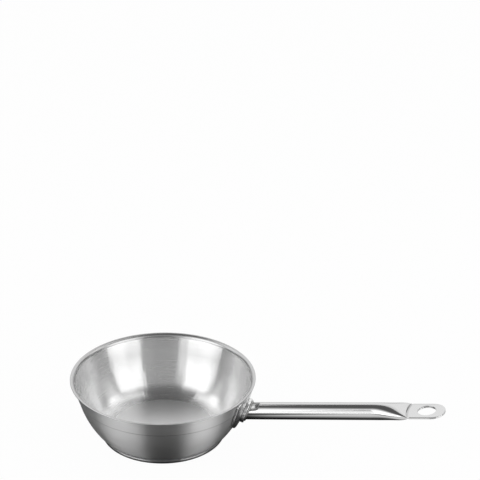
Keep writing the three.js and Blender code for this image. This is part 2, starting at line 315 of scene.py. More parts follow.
def turned(profile, turns):
    """A profile (r, z) carried round the axis: (r cos t, r sin t, z); its ends on the axis become poles.

    The finish coordinates are the run along the profile, and cos t and sin t times the streak's radius."""
    turn = np.arange(turns) * 2 * np.pi / turns
    inner = profile[1:-1]
    level = np.ones_like(turn)
    alike = np.ones(len(inner))
    rows = np.stack([np.outer(inner[:, 0], np.cos(turn)), np.outer(inner[:, 0], np.sin(turn)),
                     np.outer(inner[:, 1], level)], -1)
    run = run_length(profile)
    streaks = np.stack([np.outer(run[1:-1], level), np.outer(alike, STREAK * np.cos(turn)),
                        np.outer(alike, STREAK * np.sin(turn))], -1)
    ends = np.array([[0, 0, profile[0, 1]], [0, 0, profile[-1, 1]]])
    points, faces = skin(rows, ends[:1], ends[1:])
    finish = np.vstack([streaks.reshape(-1, 3), [[run[0], 0, 0], [run[-1], 0, 0]]])
    return points, faces, finish


# The bowl's meridian


def outward(flare):
    """Unit vector out of the wall, (cos a, -sin a), at flare a."""
    return np.stack([np.cos(flare), -np.sin(flare)], -1)


def flare_arc(centre, radius, start, stop, steps):
    """Points centre + radius (cos a, -sin a) and their flares a; a radius below 0 has its centre outside."""
    flare = np.linspace(start, stop, steps + 1)
    return centre + radius * outward(flare), flare


# Points lie closer together this far to each side of the draw line
LINE_ZONE = 2 * MM


class Meridian:
    """The bowl's outer face as (r, z) from axis to lip: floor, corner arc, wall arc, cone and lip roll."""

    def __init__(self, body):
        self.body = body
        low, top = body.flare_low, body.flare_top
        middle = body.lip_radius - body.sheet / 2
        self.lip_under = body.lip_radius - body.sheet
        self.lip_centre = np.array([body.rim_radius - body.sheet / 2 + middle * np.cos(body.lip_turn),
                                    body.height - body.lip_radius])
        self.cone_top = self.lip_centre - self.lip_under * outward(top)
        corner_top = body.underside + body.corner * (1 - np.sin(low))
        wall_z = corner_top + body.wall_arc * np.sin(low)
        foot_z = wall_z - body.wall_arc * np.sin(top)
        foot_r = self.cone_top[0] - (self.cone_top[1] - foot_z) * np.tan(top)
        self.cone_foot = np.array([foot_r, foot_z])
        self.wall_centre = np.array([foot_r - body.wall_arc * np.cos(top), wall_z])
        floor_r = self.wall_centre[0] + (body.wall_arc - body.corner) * np.cos(low)
        self.corner_centre = np.array([floor_r, body.underside + body.corner])

    def samples(self):
        """Points of the outer face and their flares, from the axis out to the lip's edge."""
        body = self.body
        level = np.pi / 2
        floor = np.linspace([0, body.underside], [self.corner_centre[0], body.underside], 24)[:-1]
        corner, corner_flare = flare_arc(self.corner_centre, body.corner, level, body.flare_low, 40)
        wall, wall_flare = flare_arc(self.wall_centre, body.wall_arc, body.flare_low, body.flare_top, 64)
        cone_height = self.cone_top[1] - self.cone_foot[1]
        line = (body.height - body.line_drop - self.cone_foot[1]) / cone_height
        near = LINE_ZONE / cone_height
        share = np.concatenate([np.linspace(0, line - near, 6)[1:],
                                np.linspace(line - near, line + near, 21)[1:-1],
                                np.linspace(line + near, 1, 14)[:-1]])
        cone = self.cone_foot + share[:, None] * (self.cone_top - self.cone_foot)
        lip, lip_flare = flare_arc(self.lip_centre, -self.lip_under, body.flare_top, body.lip_turn, 16)
        flares = [np.full(len(floor), level), corner_flare, wall_flare[1:],
                  np.full(len(cone), body.flare_top), lip_flare]
        return np.concatenate([floor, corner, wall[1:], cone, lip]), np.concatenate(flares)

    def lining(self, points, flare):
        """The inner face and its flares: the outer one less the sheet, with a rounder corner arc."""
        body = self.body
        level = body.underside + body.sheet
        swing = body.wall_arc - body.sheet - body.hollow
        leaves = np.arcsin((self.wall_centre[1] - level - body.hollow) / swing)
        centre = np.array([self.wall_centre[0] + swing * np.cos(leaves), level + body.hollow])
        hollow, hollow_flare = flare_arc(centre, body.hollow, np.pi / 2, leaves, 48)
        floor = np.linspace([0, level], [centre[0], level], 24)[:-1]
        upper = (flare < leaves) | (points[:, 1] > self.cone_foot[1])
        wall = (points - outward(flare) * body.sheet)[upper]
        flares = [np.full(len(floor), np.pi / 2), hollow_flare, flare[upper]]
        return np.concatenate([floor, hollow, wall]), np.concatenate(flares)

    def clearance(self, radius, height):
        """Distance out of the wall, negative inside it: from its arc low down, and from its cone above."""
        out, down = radius - self.wall_centre[0], self.wall_centre[1] - height
        top = self.body.flare_top
        curved = np.hypot(out, down) - self.body.wall_arc
        straight = (radius - self.cone_foot[0]) * np.cos(top) - (height - self.cone_foot[1]) * np.sin(top)
        return np.where(np.arctan2(down, out) > top, curved, straight)

    def at(self, height):
        """Radius and flare of the wall's curved part at a height."""
        flare = np.arcsin((self.wall_centre[1] - height) / self.body.wall_arc)
        return self.wall_centre[0] + self.body.wall_arc * np.cos(flare), flare


# Newton steps that bring a point to its place off the wall
WALL_STEPS = 20


class Seat:
    """Where the handle meets the wall: a across (+Y), b up the wall's slope and c straight out of it."""

    def __init__(self, pan):
        self.meridian = Meridian(pan.body)
        bracket = pan.bracket
        height = pan.body.height - bracket.handle_drop
        radius, self.flare = self.meridian.at(height)
        self.origin = np.array([radius, 0, height])
        self.out = np.array([np.cos(self.flare), 0, -np.sin(self.flare)])
        self.up = np.array([np.sin(self.flare), 0, np.cos(self.flare)])
        self.plate_front = bracket.seam + bracket.plate_sheet
        self.collar_back = self.plate_front + bracket.seam
        self.collar_front = self.collar_back + bracket.collar_thickness
        self.mitre = pan.handle.rise + self.flare
        self.root = self.place(np.zeros(1), np.zeros(1), np.full(1, self.collar_front + bracket.seam))[0]

    def place(self, a, b, c):
        """Seat coordinates as points of the frame."""
        across = np.array([0, 1, 0])
        return self.origin + a[..., None] * across + b[..., None] * self.up + c[..., None] * self.out

    def on_wall(self, a, b, offset):
        """How far out c a point at (a, b) lies when it is that offset clear of the wall, by Newton steps."""
        c = np.zeros_like(a)
        for _ in range(WALL_STEPS):
            p = self.place(a, b, c)
            c = c - (self.meridian.clearance(np.hypot(p[..., 0], p[..., 1]), p[..., 2]) - offset)
        return c


# Materials


def add_node(tree, kind, fields, inputs):
    """Adds a shader node, sets its fields, and fills or links its inputs by name or number."""
    node = tree.nodes.new(kind)
    for field, value in fields.items():
        setattr(node, field, value)
    for socket, value in inputs.items():
        if isinstance(value, bpy.types.NodeSocket):
            tree.links.new(value, node.inputs[socket])
        else:
            node.inputs[socket].default_value = value
    return node


# Clouds per metre in every metal and their share in its pattern, and the range that noise mostly keeps to
CLOUDS = 28
CLOUD_SHARE = 0.3
NOISE_LOW, NOISE_HIGH = 0.25, 0.75

# Depth of the lines at full strength
LINE_RELIEF = 0.2 * MM

# Long waves of pressed sheet: slow along the profile and quick round it
WAVE_STRETCH = (0.02, 4, 4)

# A quarter turn lays the long side of the highlight across the brush lines
ACROSS_LINES = 0.25


def metal(name, base, roughness, shade, swing, relief, spacing, detail, drawn=0, waves=0):
    """A metal whose colour, roughness and relief follow lines on its finish coordinates, mixed with clouds.

    The lines lie spacing mm apart. They shade the colour by a share to both sides, swing the roughness and
    raise the relief by a strength. drawn is how far lights are drawn out across the lines, and waves is the
    depth in mm of the sheet's long waves.

    A Mix node takes its factor in socket 0, numbers in 2 and 3 and colours in 6 and 7."""
    material = bpy.data.materials.new(name)
    material.use_nodes = True
    tree = material.node_tree
    tree.nodes.clear()
    lines_at = add_node(tree, "ShaderNodeAttribute", {"attribute_name": FINISH}, {})
    lines = add_node(tree, "ShaderNodeTexNoise", {}, {
        "Vector": lines_at.outputs["Vector"], "Scale": 1 / spacing, "Detail": detail, "Roughness": 0.6})
    clouds_at = add_node(tree, "ShaderNodeTexCoord", {}, {})
    clouds = add_node(tree, "ShaderNodeTexNoise", {}, {
        "Vector": clouds_at.outputs["Object"], "Scale": CLOUDS, "Detail": 3})
    mixed = add_node(tree, "ShaderNodeMix", {"data_type": "FLOAT"}, {
        0: CLOUD_SHARE, 2: lines.outputs[0], 3: clouds.outputs[0]})
    dark = tuple(v * (1 - shade) for v in base) + (1,)
    light = tuple(min(1, v * (1 + shade)) for v in base) + (1,)
    tint = add_node(tree, "ShaderNodeMix", {"data_type": "RGBA"}, {0: mixed.outputs[0], 6: dark, 7: light})
    rough = add_node(tree, "ShaderNodeMapRange", {}, {
        "Value": mixed.outputs[0], "From Min": NOISE_LOW, "From Max": NOISE_HIGH,
        "To Min": roughness - swing, "To Max": roughness + swing})
    ridges = {"Height": lines.outputs[0], "Strength": relief, "Distance": LINE_RELIEF}
    if waves:
        waves_at = add_node(tree, "ShaderNodeVectorMath", {"operation": "MULTIPLY"}, {
            0: lines_at.outputs["Vector"], 1: WAVE_STRETCH})
        swell = add_node(tree, "ShaderNodeTexNoise", {}, {
            "Vector": waves_at.outputs[0], "Scale": 1, "Detail": 2})
        sheet = add_node(tree, "ShaderNodeBump", {}, {
            "Height": swell.outputs[0], "Strength": 1, "Distance": waves * MM})
        ridges["Normal"] = sheet.outputs[0]
    surface = {"Base Color": tint.outputs[2], "Metallic": 1, "Roughness": rough.outputs[0],
               "Normal": add_node(tree, "ShaderNodeBump", {}, ridges).outputs[0]}
    if drawn:
        grain = add_node(tree, "ShaderNodeTangent", {"direction_type": "RADIAL", "axis": "Z"}, {})
        surface.update({
            "Anisotropic": drawn, "Anisotropic Rotation": ACROSS_LINES, "Tangent": grain.outputs[0]})
    shader = add_node(tree, "ShaderNodeBsdfPrincipled", {}, surface)
    add_node(tree, "ShaderNodeOutputMaterial", {}, {"Surface": shader.outputs[0]})
    return material


def brushed_outside(finish):
    """Stainless sheet brushed round the axis: each light is drawn out up and down the wall.

    The real lines are about 0.1 mm apart; they are drawn 0.8 mm apart so that they show."""
    return metal("brushed_stainless_steel_outside", finish.outside, roughness=0.41, shade=0.07, swing=0.04,
                 relief=0.06, spacing=0.8, detail=3, drawn=0.98, waves=0.3)


def brushed_inside(finish):
    """Stainless sheet brushed finer and brighter inside: sharp upright bands of light.

    The lines are drawn 0.8 mm apart so that they show."""
    return metal("fine_brushed_stainless_steel_inside", finish.inside, roughness=0.26, shade=0.03,
                 swing=0.03, relief=0.02, spacing=0.8, detail=3, drawn=0.96, waves=0.3)


def ground_floor(finish):
    """Stainless floor ground matt all ways: an even pale grey, with its grit drawn 0.9 mm wide to show."""
    return metal("ground_stainless_steel_floor", finish.ground, roughness=0.36, shade=0.06, swing=0.05,
                 relief=0.08, spacing=0.9, detail=3)


def polished_lip(finish):
    """Stainless lip polished after rolling: soft clear reflections, lines drawn 0.8 mm apart to show."""
    return metal("polished_stainless_steel_lip", finish.lip, roughness=0.28, shade=0.03, swing=0.04,
                 relief=0.03, spacing=0.8, detail=3)


def draw_line_painted_shade(finish):
    """Stainless steel along the draw line, duller than the wall and painted darker: painted shade of the
    groove.
    """
    return metal("draw_line_steel_painted_shade", finish.scored, roughness=0.5, shade=0.2, swing=0.05,
                 relief=0.05, spacing=0.8, detail=3, drawn=0.9)


def turned_steel(finish):
    """Stainless cap turned on a lathe: rings of fine grooves, drawn 0.9 mm apart so that they show."""
    return metal("turned_stainless_steel", finish.turned, roughness=0.3, shade=0.06, swing=0.06,
                 relief=0.15, spacing=0.9, detail=2, drawn=0.9)


def polished_sheet_steel(finish):
    """Stainless sheet polished after forming: clear reflections, faint lines drawn 1 mm apart to show."""
    return metal("polished_sheet_stainless_steel", finish.sheet, roughness=0.28, shade=0.03, swing=0.04,
                 relief=0.04, spacing=1, detail=2)


def mirror_polished_steel(finish):
    """Stainless tube buffed along its length: a mirror with long hairlines, drawn 0.6 mm apart to show."""
    return metal("mirror_polished_stainless_steel", finish.tube, roughness=0.11, shade=0.02, swing=0.03,
                 relief=0.015, spacing=0.6, detail=2)


def brushed_weld_steel(finish):
    """Weld metal wire-brushed after welding: duller and rougher than the sheet, with a 1.2 mm grain."""
    return metal("brushed_weld_steel", finish.weld, roughness=0.34, shade=0.06, swing=0.06,
                 relief=0.08, spacing=1.2, detail=3)


def rolled_aluminium(finish):
    """Aluminium as it leaves the rolls: bright and matt, with a faint 1.5 mm grain."""
    return metal("rolled_aluminium", finish.aluminium, roughness=0.45, shade=0.05, swing=0.06,
                 relief=0.08, spacing=1.5, detail=3)


# Operators, one for each piece and one for the stage


# The bowl's finishes, and their numbers in its mesh; LINE is painted shade along the draw line
BODY_FINISHES = (brushed_outside, brushed_inside, ground_floor, polished_lip, draw_line_painted_shade)
OUTSIDE, INSIDE, FLOOR, LIP, LINE = range(5)


class SAUTE_OT_body(bpy.types.Operator):
    """Turn the pressed bowl with its rolled lip"""

    bl_idname = "saute_pan.body"
    bl_label = "Pan body"

    def execute(self, context):
        pan = context.scene.saute_pan
        body = pan.body
        meridian = Meridian(body)
        points, flare = meridian.samples()
        normal = outward(flare)
        # At d below the draw line the wall sinks by depth (1 - exp(-d / edge)) exp(-d / fade)
        below = np.maximum(body.height - body.line_drop - points[:, 1], 0)
        line = body.line_depth * (1 - np.exp(-below / body.line_edge)) * np.exp(-below / body.line_fade)
        on_wall = flare <= body.flare_low
        # At d widths from the groove's middle the corner sinks by depth exp(-d^2)
        from_joint = (points[:, 1] - body.underside - body.joint_rise) / body.joint_width
        joint = body.joint_depth * np.exp(-from_joint ** 2)
        on_side = flare < np.pi / 2
        outside = points - normal * (on_wall * line + on_side * joint)[:, None]
        inside, inside_flare = meridian.lining(points, flare)
        # Half a circle rounds the sheet's edge
        edge_turn = np.linspace(0, np.pi, 10)[1:-1, None]
        ahead = np.array([np.sin(flare[-1]), np.cos(flare[-1])])
        middle = (outside[-1] + inside[-1]) / 2
        edge = middle + body.sheet / 2 * (np.cos(edge_turn) * normal[-1] + np.sin(edge_turn) * ahead)
        profile = np.concatenate([outside, edge, inside[::-1]])
        on_lip = points[:, 1] > meridian.cone_top[1]
        # The band under the draw line takes the darker line material: painted shade
        on_line = (below > 0) & (below < body.line_width)
        outside_rings = np.select([on_lip, on_line], [LIP, LINE], OUTSIDE)
        rolled = inside[:, 1] > meridian.cone_top[1]
        level = np.isclose(inside_flare, np.pi / 2)
        inside_rings = np.select([rolled, level], [LIP, FLOOR], INSIDE)
        rings = np.concatenate([outside_rings, np.full(len(edge), LIP), inside_rings[::-1]])
        # A row of faces has the finish of its first ring, and the fans at the two poles come last
        turns = 260
        poles = np.repeat([OUTSIDE, FLOOR], turns)
        zones = np.concatenate([np.repeat(rings[1:-2], turns), poles])
        finishes = [finish(pan.finish) for finish in BODY_FINISHES]
        lay_piece("pan_body_look", *turned(profile, turns), finishes, "satin_steel", zones)
        return {"FINISHED"}


class SAUTE_OT_cap(bpy.types.Operator):
    """Turn the steel cap that closes the sandwich base"""

    bl_idname = "saute_pan.cap"
    bl_label = "Base cap"

    def execute(self, context):
        pan = context.scene.saute_pan
        base = pan.base
        # The profile (r, z) runs under the cap, up a quarter circle, over the turned-in rim and back inside
        level = np.pi / 2
        centre = np.array([base.radius - base.corner, base.corner])
        thin = base.rim - base.sheet
        under = np.linspace([0, 0], [centre[0], 0], 60)[:-1]
        outer = flare_arc(centre, base.corner, level, 0, 12)[0]
        roll = np.linspace(0, np.pi / 2, 9)[:, None]
        way = np.concatenate([np.cos(roll), np.sin(roll)], 1)
        rim_centre = np.array([base.radius - base.rim, base.height - base.rim])
        rim = np.concatenate([rim_centre + base.rim * way, rim_centre + thin * way[::-1]])
        inner = flare_arc(centre, base.corner - base.sheet, 0, level, 10)[0]
        floor = np.linspace([centre[0], base.sheet], [0, base.sheet], 20)[1:]
        profile = np.concatenate([under, outer, rim, inner, floor])
        turns = 288
        lay_piece("base_cap_look", *turned(profile, turns), [turned_steel(pan.finish)], "base_steel")
        return {"FINISHED"}


class SAUTE_OT_spreader(bpy.types.Operator):
    """Finish the aluminium disc, which stays as the frame has it"""

    bl_idname = "saute_pan.spreader"
    bl_label = "Heat spreader disc"

    def execute(self, context):
        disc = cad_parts["heat_spreader_disc"]
        disc.data.materials.clear()
        disc.data.materials.append(rolled_aluminium(context.scene.saute_pan.finish))
        return {"FINISHED"}


def plate_outline(seat, bracket, inset):
    """The plate's outline in seat coordinates: four corner arcs and the straight edges between them."""
    half = bracket.plate_width / 2
    lip = seat.meridian.cone_top - seat.origin[[0, 2]]
    top = lip[0] * seat.up[0] + lip[1] * seat.up[2] - bracket.plate_gap
    high, low = bracket.plate_top_corner, bracket.plate_low_corner
    turn = np.linspace(0, np.pi / 2, 25)
    corners = []
    for across, up, radius, start in ((half - high, top - high, high, 0), (high - half, top - high, high, 1),
                                      (low - half, low - bracket.plate_below, low, 2),
                                      (half - low, low - bracket.plate_below, low, 3)):
        around = turn + start * np.pi / 2
        ring = (radius - inset) * np.stack([np.cos(around), np.sin(around)], -1)
        corners.append(np.array([across, up]) + ring)
    edges = [np.linspace(corner[-1], corners[(i + 1) % 4][0], 14)[1:-1] for i, corner in enumerate(corners)]
    return np.concatenate([part for pair in zip(corners, edges) for part in pair])


class SAUTE_OT_plate(bpy.types.Operator):
    """Shape the saddle plate to the wall, with its spot-weld marks"""

    bl_idname = "saute_pan.plate"
    bl_label = "Saddle plate"

    def execute(self, context):
        pan = context.scene.saute_pan
        bracket = pan.bracket
        seat = Seat(pan)
        # A layer is an outline (a, b) and its offset from the wall; quarter circles round the edge
        edge = bracket.plate_edge
        round_off = np.linspace(0, np.pi / 2, 6)
        front_edge = [(edge * (1 - np.sin(t)), seat.plate_front - edge * (1 - np.cos(t))) for t in round_off]
        back_edge = [(edge * (1 - np.cos(t)), bracket.seam + edge * (1 - np.sin(t))) for t in round_off]
        face = plate_outline(seat, bracket, edge)
        middle = np.array([0, (face[:, 1].min() + face[:, 1].max()) / 2])
        shares = np.linspace(0, 1, 26)[1:-1]
        fronts = [(middle + s * (face - middle), seat.plate_front) for s in shares]
        rims = [(plate_outline(seat, bracket, inset), offset) for inset, offset in front_edge + back_edge]
        backs = [(middle + s * (face - middle), bracket.seam) for s in shares[::-1]]
        layers = fronts + rims + backs
        a = np.stack([flat[:, 0] for flat, _ in layers])
        b = np.stack([flat[:, 1] for flat, _ in layers])
        offset = np.array([depth for _, depth in layers])[:, None] + np.zeros_like(a)
        # At d from a spot weld the front sinks by depth exp(-(d / radius)^4)
        for across in (-bracket.spot_across, bracket.spot_across):
            for up in (-bracket.spot_below, bracket.spot_above):
                apart = ((a - across) ** 2 + (b - up) ** 2) / bracket.spot_radius ** 2
                offset[:len(fronts)] -= bracket.spot_depth * np.exp(-apart ** 2)[:len(fronts)]
        rows = seat.place(a, b, seat.on_wall(a, b, offset))
        poles = np.array([[middle[1], seat.plate_front], [middle[1], bracket.seam]])
        tips = [seat.place(np.zeros(1), p[:1], seat.on_wall(np.zeros(1), p[:1], p[1:])) for p in poles]
        points, faces = skin(rows, *tips)
        lay_piece("saddle_plate_look", points, faces, points * PLATE_GRAIN,
                  [polished_sheet_steel(pan.finish)], "plate_steel")
        return {"FINISHED"}


class SAUTE_OT_collar(bpy.types.Operator):
    """Raise the oval boss that the tube is welded to"""

    bl_idname = "saute_pan.collar"
    bl_label = "Handle collar"

    def execute(self, context):
        pan = context.scene.saute_pan
        bracket = pan.bracket
        seat = Seat(pan)
        radius = pan.handle.diameter / 2
        # Rings ((wide - i) cos t, (tall - i tall / wide) sin t) at insets i, over the front, then the back
        turn = np.linspace(0, 2 * np.pi, 160, endpoint=False)
        wide = radius + bracket.collar_side
        tall = radius / np.cos(seat.mitre) + bracket.collar_end
        edge = bracket.collar_edge
        round_off = np.linspace(0, np.pi / 2, 7)
        flat = edge + (wide - edge) * np.linspace(0.92, 0.08, 8)
        inset = np.concatenate([flat, edge * (1 - np.sin(round_off))])
        lift = np.concatenate([np.zeros_like(flat), edge * (1 - np.cos(round_off))])
        a = np.outer(wide - inset, np.cos(turn))
        b = np.outer(tall - inset * tall / wide, np.sin(turn)) - bracket.collar_drop
        c = seat.collar_front - lift[:, None] + np.zeros_like(a)
        shares = np.linspace(1, 0, 8)[:-1]
        foot_a = np.outer(shares * wide, np.cos(turn))
        foot_b = np.outer(shares * tall, np.sin(turn)) - bracket.collar_drop
        foot_c = seat.on_wall(foot_a, foot_b, np.full_like(foot_a, seat.collar_back))
        rows = seat.place(np.vstack([a, foot_a]), np.vstack([b, foot_b]), np.vstack([c, foot_c]))
        zero, down = np.zeros(1), np.full(1, -bracket.collar_drop)
        front_pole = seat.place(zero, down, np.full(1, seat.collar_front))
        back_pole = seat.place(zero, down, seat.on_wall(zero, down, np.full(1, seat.collar_back)))
        points, faces = skin(rows, front_pole, back_pole)
        lay_piece("handle_collar_look", points, faces, points * COLLAR_GRAIN,
                  [polished_sheet_steel(pan.finish)], "plate_steel")
        return {"FINISHED"}


# How fast the press closes, and the powers of the section's superellipse before and after it
FLATTEN_EASE = 2.6
SQUARE_EASE = 6
ROUND_POWER = 2
FLAT_POWER = 7

# Where the tube's first round section lies, clear of the mitre, and how much of the press the bore reaches
ROUND_START = 8 * MM
BORE_STOP = 0.9

# The seam between the two walls in a cut edge: depths into the cut, and heights over the tab's middle
SEAM_DEPTHS = np.array([[0], [0.1], [0.22]]) * MM
SEAM_HEIGHTS = np.array([[0.2], [0.08], [0]]) * MM

# The most that a cut's rounding takes of the metal's height
EDGE_SHARE = 0.6


class Handle:
    """The tube in its own frame: x along it from the mitred root, y across and z up."""

    def __init__(self, pan):
        self.sizes = pan.handle
        self.seat = Seat(pan)
        rise = self.sizes.rise
        self.along = np.array([np.cos(rise), 0, np.sin(rise)])
        self.high = np.array([-np.sin(rise), 0, np.cos(rise)])
        self.length = (self.sizes.reach - self.seat.root[0]) / np.cos(rise)
        self.crease = self.length - self.sizes.tab
        self.press = self.crease - self.sizes.press
        self.half_tab = self.sizes.tab_width / 2

    def place(self, points):
        """Tube coordinates as points of the frame."""
        across = np.array([0, 1, 0])
        return (self.seat.root + points[..., :1] * self.along + points[..., 1:2] * across
                + points[..., 2:] * self.high)

    def sections(self, along, pressed, under, slit, around):
        """Superellipses |y/w|^n + |z/h|^n = 1 whose power n grows as the circle is pressed to a strip."""
        radius = self.sizes.diameter / 2 - under
        pressed = pressed[:, None]
        wide = radius + np.sin(np.pi / 2 * pressed) ** 2 * (self.half_tab - under - radius)
        high = radius + pressed ** FLATTEN_EASE * (slit - radius)
        power = ROUND_POWER + pressed ** SQUARE_EASE * (FLAT_POWER - ROUND_POWER)
        reach = (np.abs(np.cos(around)) ** power + np.abs(np.sin(around)) ** power) ** (-1 / power)
        across = reach * np.cos(around)
        x = along[:, None] + self.sizes.crease_bow * pressed ** FLATTEN_EASE * across ** 2
        return np.stack([x, wide * across, high * reach * np.sin(around)], -1)

    def rows(self, under, slit, around, stop):
        """The mitred root ring, the round tube, and the press up to a share of its length."""
        root = self.sections(np.zeros(1), np.zeros(1), under, slit, around)
        root[..., 0] = root[..., 2] * np.tan(self.seat.mitre)
        straight = np.linspace(ROUND_START, self.press, 24)[:-1]
        tube = self.sections(straight, np.zeros_like(straight), under, slit, around)
        share = stop * np.sin(np.linspace(0, np.pi / 2, 56))
        pressed = self.sections(self.press + share * self.sizes.press, share, under, slit, around)
        return np.concatenate([root, tube, pressed])

    def creased(self, points):
        """Sinks the line where the press ends: z falls by depth exp(-d^2) at d widths from the crease."""
        sizes = self.sizes
        crease = self.crease + sizes.crease_bow * (points[:, 1] / self.half_tab) ** 2
        near = np.exp(-((points[:, 0] - crease) / sizes.crease_width) ** 2)
        flat = 1 - sizes.crease_depth / sizes.wall * near
        return points * np.stack([np.ones_like(flat), np.ones_like(flat), flat], -1)

    def tab_top(self, y):
        """Height of the flat tab's upper face across its width."""
        share = np.clip(np.abs(y) / self.half_tab, 0, 1)
        return self.sizes.wall * (1 - share ** FLAT_POWER) ** (1 / FLAT_POWER)

    def cut_edge(self, centre, way, radius, inward):
        """Rows down a cut from the upper face to the lower: rounded rim, wall and the seam of the two walls.

        way holds unit directions from the centre; inward is +1 where the metal lies nearer the centre."""
        rim = self.tab_top(radius * way[:, 1])
        full = rim / self.sizes.wall
        edge = np.minimum(self.sizes.hole_edge, EDGE_SHARE * rim)
        turn = np.linspace(0, np.pi / 2, 6)[:, None]
        inset = np.concatenate([edge * (1 - np.sin(turn)), SEAM_DEPTHS * full])
        height = np.concatenate([rim - edge * (1 - np.cos(turn)), SEAM_HEIGHTS * full])
        reach = radius - inward * np.concatenate([inset, inset[-2::-1]])
        level = np.concatenate([height, -height[-2::-1]])
        return np.stack([centre + reach * way[:, 0], reach * way[:, 1], level], -1)

    def tab(self, crease):
        """The flat tab beyond the crease: two faces fanned out from the hole, and their cut edges."""
        tip = self.length - self.half_tab
        hole = self.length - self.sizes.hole_setback
        turn = np.linspace(-np.pi / 2, np.pi / 2, 73)
        tip_way = np.stack([np.cos(turn), np.sin(turn)], -1)
        tip_rows = self.cut_edge(tip, tip_way, self.half_tab, 1)
        side = np.linspace(crease[-1], [tip, -self.half_tab, 0], 18)[1:-1]
        outline = np.concatenate([crease, side, tip_rows[0], (side * [1, -1, 1])[::-1]])[:, :2]
        way = outline - [hole, 0]
        way = way / np.linalg.norm(way, axis=1, keepdims=True)
        hole_rows = self.cut_edge(hole, way, self.sizes.hole / 2, -1)
        start = hole_rows[0][:, :2]
        share = 1 - (1 - np.linspace(0, 1, 22)[:, None, None]) ** 2
        flat = start + share * (outline - start)
        face = np.concatenate([flat, self.tab_top(flat[..., 1:])], -1)
        return joined(skin(face), skin(face * [1, 1, -1]), skin(hole_rows), skin(tip_rows, strip=True))


class SAUTE_OT_tube(bpy.types.Operator):
    """Draw the tube, press its end flat and punch the hole"""

    bl_idname = "saute_pan.tube"
    bl_label = "Handle tube"

    def execute(self, context):
        pan = context.scene.saute_pan
        handle = Handle(pan)
        sides = 96
        around = np.arange(sides) * 2 * np.pi / sides
        outside = handle.rows(0, pan.handle.wall, around, 1)
        inside = handle.rows(pan.handle.wall, pan.handle.slit, around, BORE_STOP)
        bore_end = inside[-1].mean(0, keepdims=True)
        shell = skin(np.concatenate([inside[::-1], outside]), bore_end)
        points, faces = joined(shell, handle.tab(outside[-1][:sides // 2 + 1]))
        points = handle.creased(points)
        lay_piece("handle_tube_look", handle.place(points), faces, points * TUBE_GRAIN,
                  [mirror_polished_steel(pan.finish)], "polished_steel")
        return {"FINISHED"}


# The weld's ripples: how many, their share of the bead, how far each leans, and how full the bead's face is
RIPPLES = 36
RIPPLE_SHARE = 0.05
RIPPLE_LEAN = 1.5
BEAD_BELLY = 0.75


class SAUTE_OT_bead(bpy.types.Operator):
    """Run the weld bead round the tube's root"""

    bl_idname = "saute_pan.bead"
    bl_label = "Root weld bead"

    def execute(self, context):
        pan = context.scene.saute_pan
        handle = Handle(pan)
        seam, leg = pan.bracket.seam, pan.handle.bead_leg
        radius = pan.handle.diameter / 2
        tall = radius / np.cos(handle.seat.mitre)
        # The face leaves the root's ellipse by leg (1 - t + belly) and climbs the tube by leg (t + belly)
        turn = np.linspace(0, 2 * np.pi, 240, endpoint=False)[:, None]
        away = np.stack([np.cos(turn) / radius, np.sin(turn) / tall], -1)
        away = away / np.linalg.norm(away, axis=-1, keepdims=True)
        t = np.linspace(0, 1, 12)
        ripple = 1 + RIPPLE_SHARE * np.abs(np.sin(RIPPLES * turn + RIPPLE_LEAN * t)) * np.sin(np.pi * t)
        belly = BEAD_BELLY * t * (1 - t)
        out = np.concatenate([seam + leg * (1 - t + belly) * ripple, np.full_like(turn, seam)], 1)
        lift = np.concatenate([leg * (t + belly) * ripple, np.zeros_like(turn)], 1)
        u = radius * np.cos(turn) + away[..., 0] * out
        v = tall * np.sin(turn) + away[..., 1] * out
        mitre = handle.seat.mitre
        rows = np.stack([v * np.sin(mitre) + lift, u, v * np.cos(mitre)], -1)
        points, faces = skin(rows, hoop=True)
        lay_piece("root_weld_bead_look", handle.place(points), faces, points,
                  [brushed_weld_steel(pan.finish)], "weld_steel")
        return {"FINISHED"}


class SAUTE_OT_stage(bpy.types.Operator):
    """Set the floor, the softboxes and the camera"""

    bl_idname = "saute_pan.stage"
    bl_label = "Stage"

    def execute(self, context):
        scene = context.scene
        stage = scene.saute_pan.stage
        scene.view_settings.view_transform = "Standard"
        heading = Matrix.Rotation(stage.heading, 4, "Z")
        lay_floor(scene, stage)
        light_room(scene, stage)
        hang_lamps(scene, stage, heading)
        set_camera(scene, stage, heading)
        return {"FINISHED"}


# Radii of the floor's disc, and the share of plain white in it, which leaves the rest for the shadow
FLOOR_HUB, FLOOR_REACH = 0.05, 8
PAPER_WHITE = 0.965

# Distances from the line under the tube and from the axis over which the painted shade that mirror rays see
# on the floor fades to pale
TUBE_SHADE = (0.01, 0.1)
BASE_SHADE = (0.08, 0.13)

# Middles and half sizes of two ovals of painted shade on the floor that mirror rays see, one before the pan
# standing in for its shadow and one to its left standing in for a dark corner of the room, without the
# heading, and the shares of an oval's size over which it turns pale
PAINTED_SHADE_OVALS = (((0.005, -0.19, 0), (0.08, 0.16, 1)), ((-0.19, 0.07, 0), (0.24, 0.2, 1)))
OVAL_SHADE = (0.5, 1.5)


